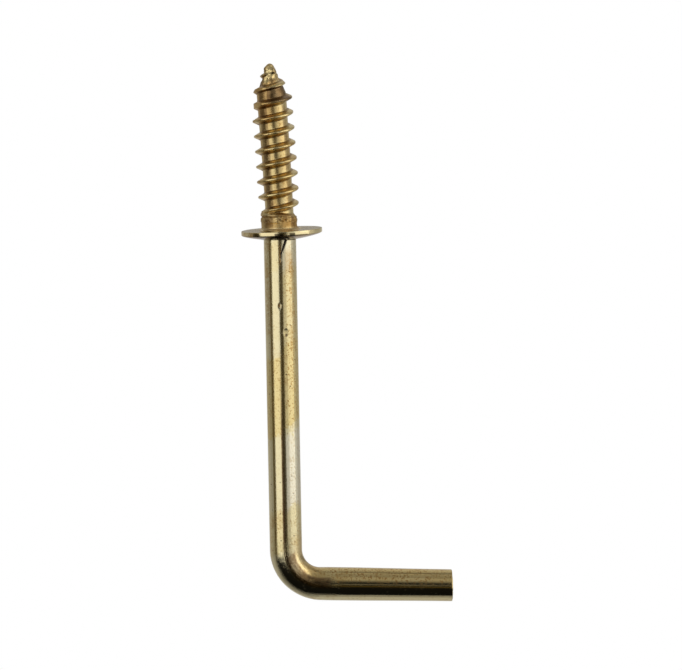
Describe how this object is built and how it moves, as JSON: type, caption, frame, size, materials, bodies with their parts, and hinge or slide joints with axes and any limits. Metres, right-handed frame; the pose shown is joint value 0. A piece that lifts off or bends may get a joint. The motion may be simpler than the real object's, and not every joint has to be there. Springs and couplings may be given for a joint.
{
  "type": "shouldered square screw hook",
  "caption": "Brassed steel wire L hook with a rolled wood-screw point and a staked round shoulder collar; screws into timber as a simple holdback or hanger.",
  "frame": {"origin": "centre of the collar's flat seat face, the face that beds on the timber", "axes": "+Z square to the seat, up the screw towards its point; +X the way the arm points; the wire lies in the XZ plane"},
  "size_m": [0.0181, 0.0074, 0.0509],
  "materials": {
    "brassed_wire": "bright thin electro-brass on drawn steel wire, with drawing lines, pale worn stretches and amber tarnish",
    "brassed_collar": "bright thin electro-brass on a pressed steel collar"
  },
  "bodies": {
    "root": {"wire_hook": "brassed_wire", "shoulder_collar": "brassed_collar"}
  },
  "joints": []
}
